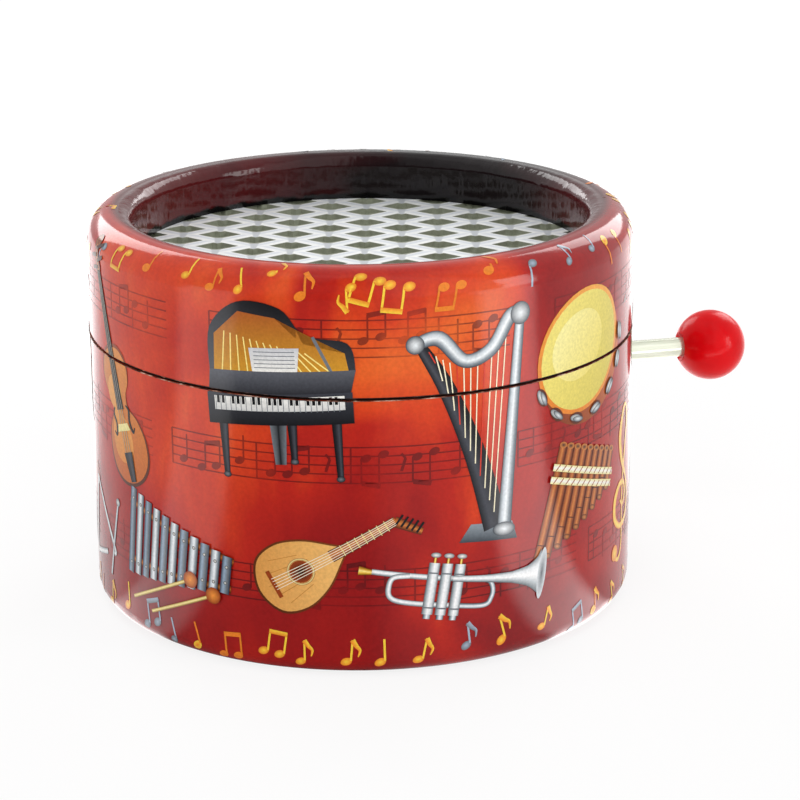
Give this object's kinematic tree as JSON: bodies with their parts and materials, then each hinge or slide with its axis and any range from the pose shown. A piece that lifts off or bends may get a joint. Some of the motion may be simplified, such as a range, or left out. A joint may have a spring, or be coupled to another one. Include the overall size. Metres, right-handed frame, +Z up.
{
  "type": "hand cranked music box",
  "caption": "Round two-part board box with a recessed mesh top and a side crank, holding a pinned-cylinder and comb movement.",
  "frame": {"origin": "middle of the underside of the base, on the surface that the box stands on", "axes": "+Z up through the grille, +X along the crank's axis towards the handle, +Y the way the handle's arm points at rest"},
  "size_m": [0.0964, 0.07, 0.0507],
  "materials": {
    "plain_paper": "uncoated",
    "printed_paper": "printed, gloss varnish",
    "board": "raw grey-brown board",
    "neck_board": "raw board",
    "mesh_aluminium": "bright, flattened expanded metal",
    "backing_sheet": "matt grey",
    "cast_plate": "gold lacquered casting",
    "comb_steel": "ground",
    "screw_steel": "zinc plated",
    "plated_steel": "nickel plated sheet",
    "brass": "polished",
    "shaft_steel": "turned",
    "wheel_plastic": "natural acetal",
    "rod_chrome": "bright plated steel",
    "ball_plastic": "glossy moulded"
  },
  "bodies": {
    "base": {"base_label": "plain_paper", "base_wrap": "printed_paper", "base_tube": "board", "base_floor": "board", "neck_ring": "neck_board", "bedplate": "cast_plate", "comb": "comb_steel", "comb_screws": "screw_steel", "gear_bracket": "plated_steel", "bracket_screws": "screw_steel", "mount_screws": "screw_steel"},
    "lid": {"lid_wrap": "printed_paper", "lid_tube": "board", "rim_ring": "board", "grille": "mesh_aluminium", "grille_backing": "backing_sheet", "ledge_ring": "board"},
    "cylinder": {"drum": "brass", "drum_caps": "brass", "drum_arbor": "shaft_steel", "worm_wheel": "wheel_plastic"},
    "crank": {"crank_rod": "rod_chrome", "worm": "shaft_steel"},
    "knob": {"crank_ball": "ball_plastic"}
  },
  "joints": [
    {"name": "lid_lift", "type": "slide", "parent": "base", "child": "lid", "axis": [0, 0, 1], "range_m": [0, 0.06]},
    {"name": "crank_turn", "type": "hinge", "parent": "base", "child": "crank", "pos_m": [0, 0.007, 0.0212], "axis": [1, 0, 0], "continuous": true},
    {"name": "cylinder_turn", "type": "hinge", "parent": "base", "child": "cylinder", "pos_m": [0.01, 0, 0.0128], "axis": [0, 1, 0], "continuous": true},
    {"name": "knob_spin", "type": "hinge", "parent": "crank", "child": "knob", "pos_m": [0.0564, 0.022, 0.0212], "axis": [1, 0, 0], "continuous": true}
  ],
  "couplings": [
    {"joint": "cylinder_turn", "follows": "crank_turn", "ratio": -0.055556}
  ]
}
